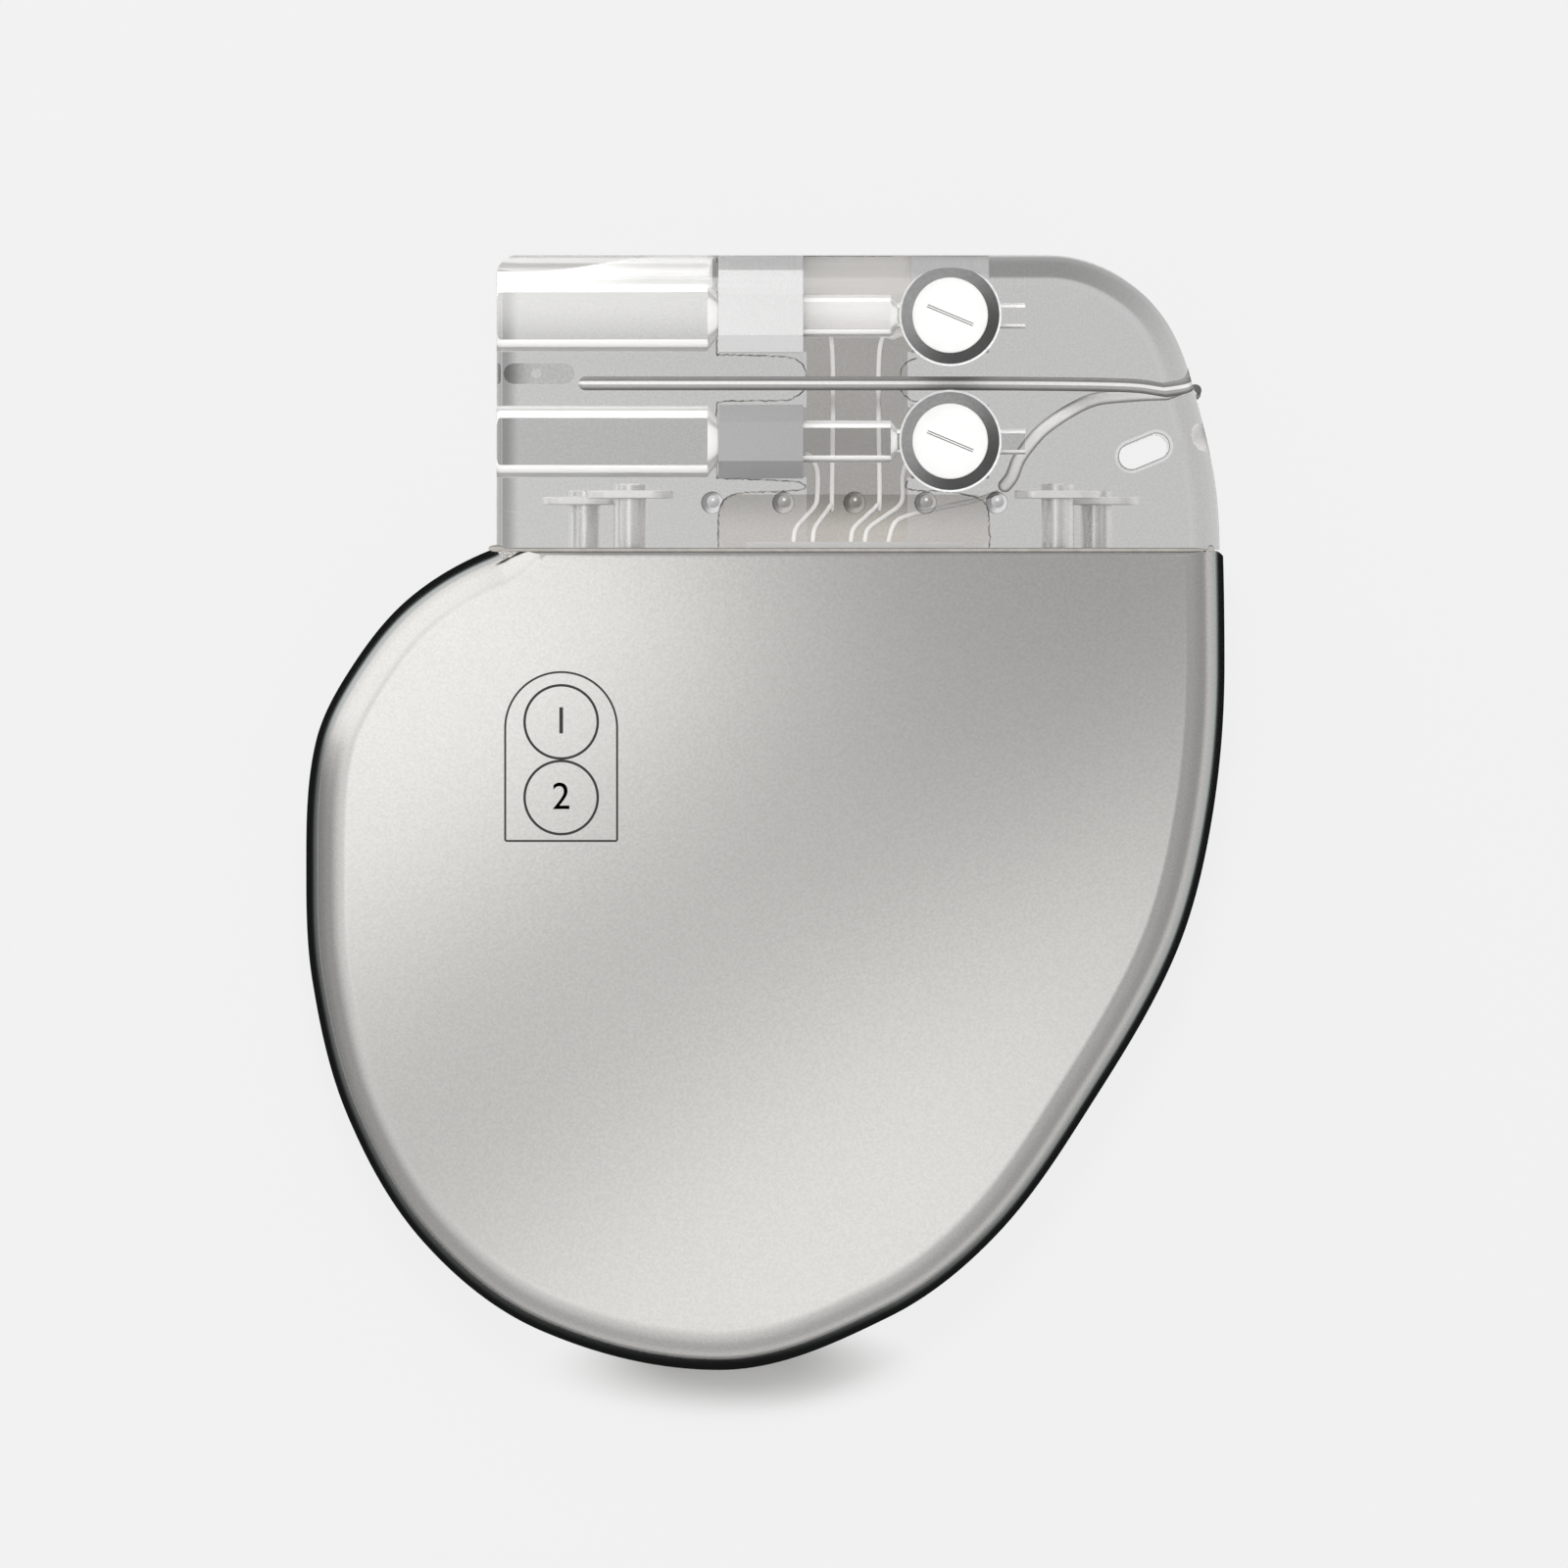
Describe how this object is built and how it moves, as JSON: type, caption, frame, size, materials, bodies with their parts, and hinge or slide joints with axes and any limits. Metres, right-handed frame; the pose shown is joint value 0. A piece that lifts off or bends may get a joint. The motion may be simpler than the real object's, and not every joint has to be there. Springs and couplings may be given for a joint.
{
  "type": "cardiac pacemaker",
  "caption": "Flat rounded metal can with a clear connector header that takes implanted heart leads in stepped bores, each clamped by a set screw under a sealed well.",
  "frame": {"origin": "under the middle of the device's width and height, on the flat back face that it lies on", "axes": "+X from the lead ports along the header, +Y from the can to the top of the header, +Z out of the front face"},
  "size_m": [0.0446, 0.054, 0.0075],
  "materials": {
    "titanium": "bead-blasted titanium",
    "polished_metal": "smooth drawn or machined metal",
    "clear_moulding": "polished clear moulding",
    "adhesive": "cured clear adhesive",
    "silicone": "white silicone rubber",
    "ceramic": "fired alumina",
    "tag_grey": "matt grey film",
    "liner_film": "amber insulating film",
    "battery_case": "satin drawn case",
    "board_green": "solder mask",
    "chip_black": "moulded package",
    "capacitor_tan": "fired capacitor body",
    "copper": "enamelled copper winding",
    "ferrite": "sintered ferrite"
  },
  "bodies": {
    "generator": {"anchor_plate_front_left": "titanium", "anchor_plate_front_right": "titanium", "anchor_plate_rear_left": "titanium", "anchor_plate_rear_right": "titanium", "anchor_post_front_left": "titanium", "anchor_post_front_right": "titanium", "anchor_post_rear_left": "titanium", "anchor_post_rear_right": "titanium", "antenna_feed_wire": "polished_metal", "antenna_rod": "polished_metal", "battery": "battery_case", "battery_pin_1": "polished_metal", "battery_pin_2": "polished_metal", "channel_adhesive": "adhesive", "circuit_board": "board_green", "feedthrough_ceramic": "ceramic", "feedthrough_flange": "titanium", "filter_capacitor": "capacitor_tan", "front_liner": "liner_film", "front_shell": "titanium", "header_body": "clear_moulding", "id_tag": "tag_grey", "lead_wire_1": "polished_metal", "lead_wire_2": "polished_metal", "lead_wire_3": "polished_metal", "lead_wire_4": "polished_metal", "lower_ring_block": "polished_metal", "lower_ring_spring": "polished_metal", "lower_seal_plug": "silicone", "lower_tip_block": "polished_metal", "magnet_switch": "ceramic", "memory_chip": "chip_black", "motion_sensor": "chip_black", "output_capacitor_1": "capacitor_tan", "output_capacitor_2": "capacitor_tan", "processor_chip": "chip_black", "rear_liner": "liner_film", "rear_shell": "titanium", "telemetry_coil": "copper", "telemetry_core": "ferrite", "timing_crystal": "polished_metal", "upper_ring_block": "polished_metal", "upper_ring_spring": "polished_metal", "upper_seal_plug": "silicone", "upper_tip_block": "polished_metal", "weld_backing_band": "titanium"},
    "upper_set_screw": {"upper_set_screw": "polished_metal"},
    "lower_set_screw": {"lower_set_screw": "polished_metal"}
  },
  "joints": [
    {"name": "upper_set_screw_slide", "type": "slide", "parent": "generator", "child": "upper_set_screw", "axis": [0, 0, 1], "range_m": [-0.0006, 0]},
    {"name": "lower_set_screw_slide", "type": "slide", "parent": "generator", "child": "lower_set_screw", "axis": [0, 0, 1], "range_m": [-0.0006, 0]}
  ]
}
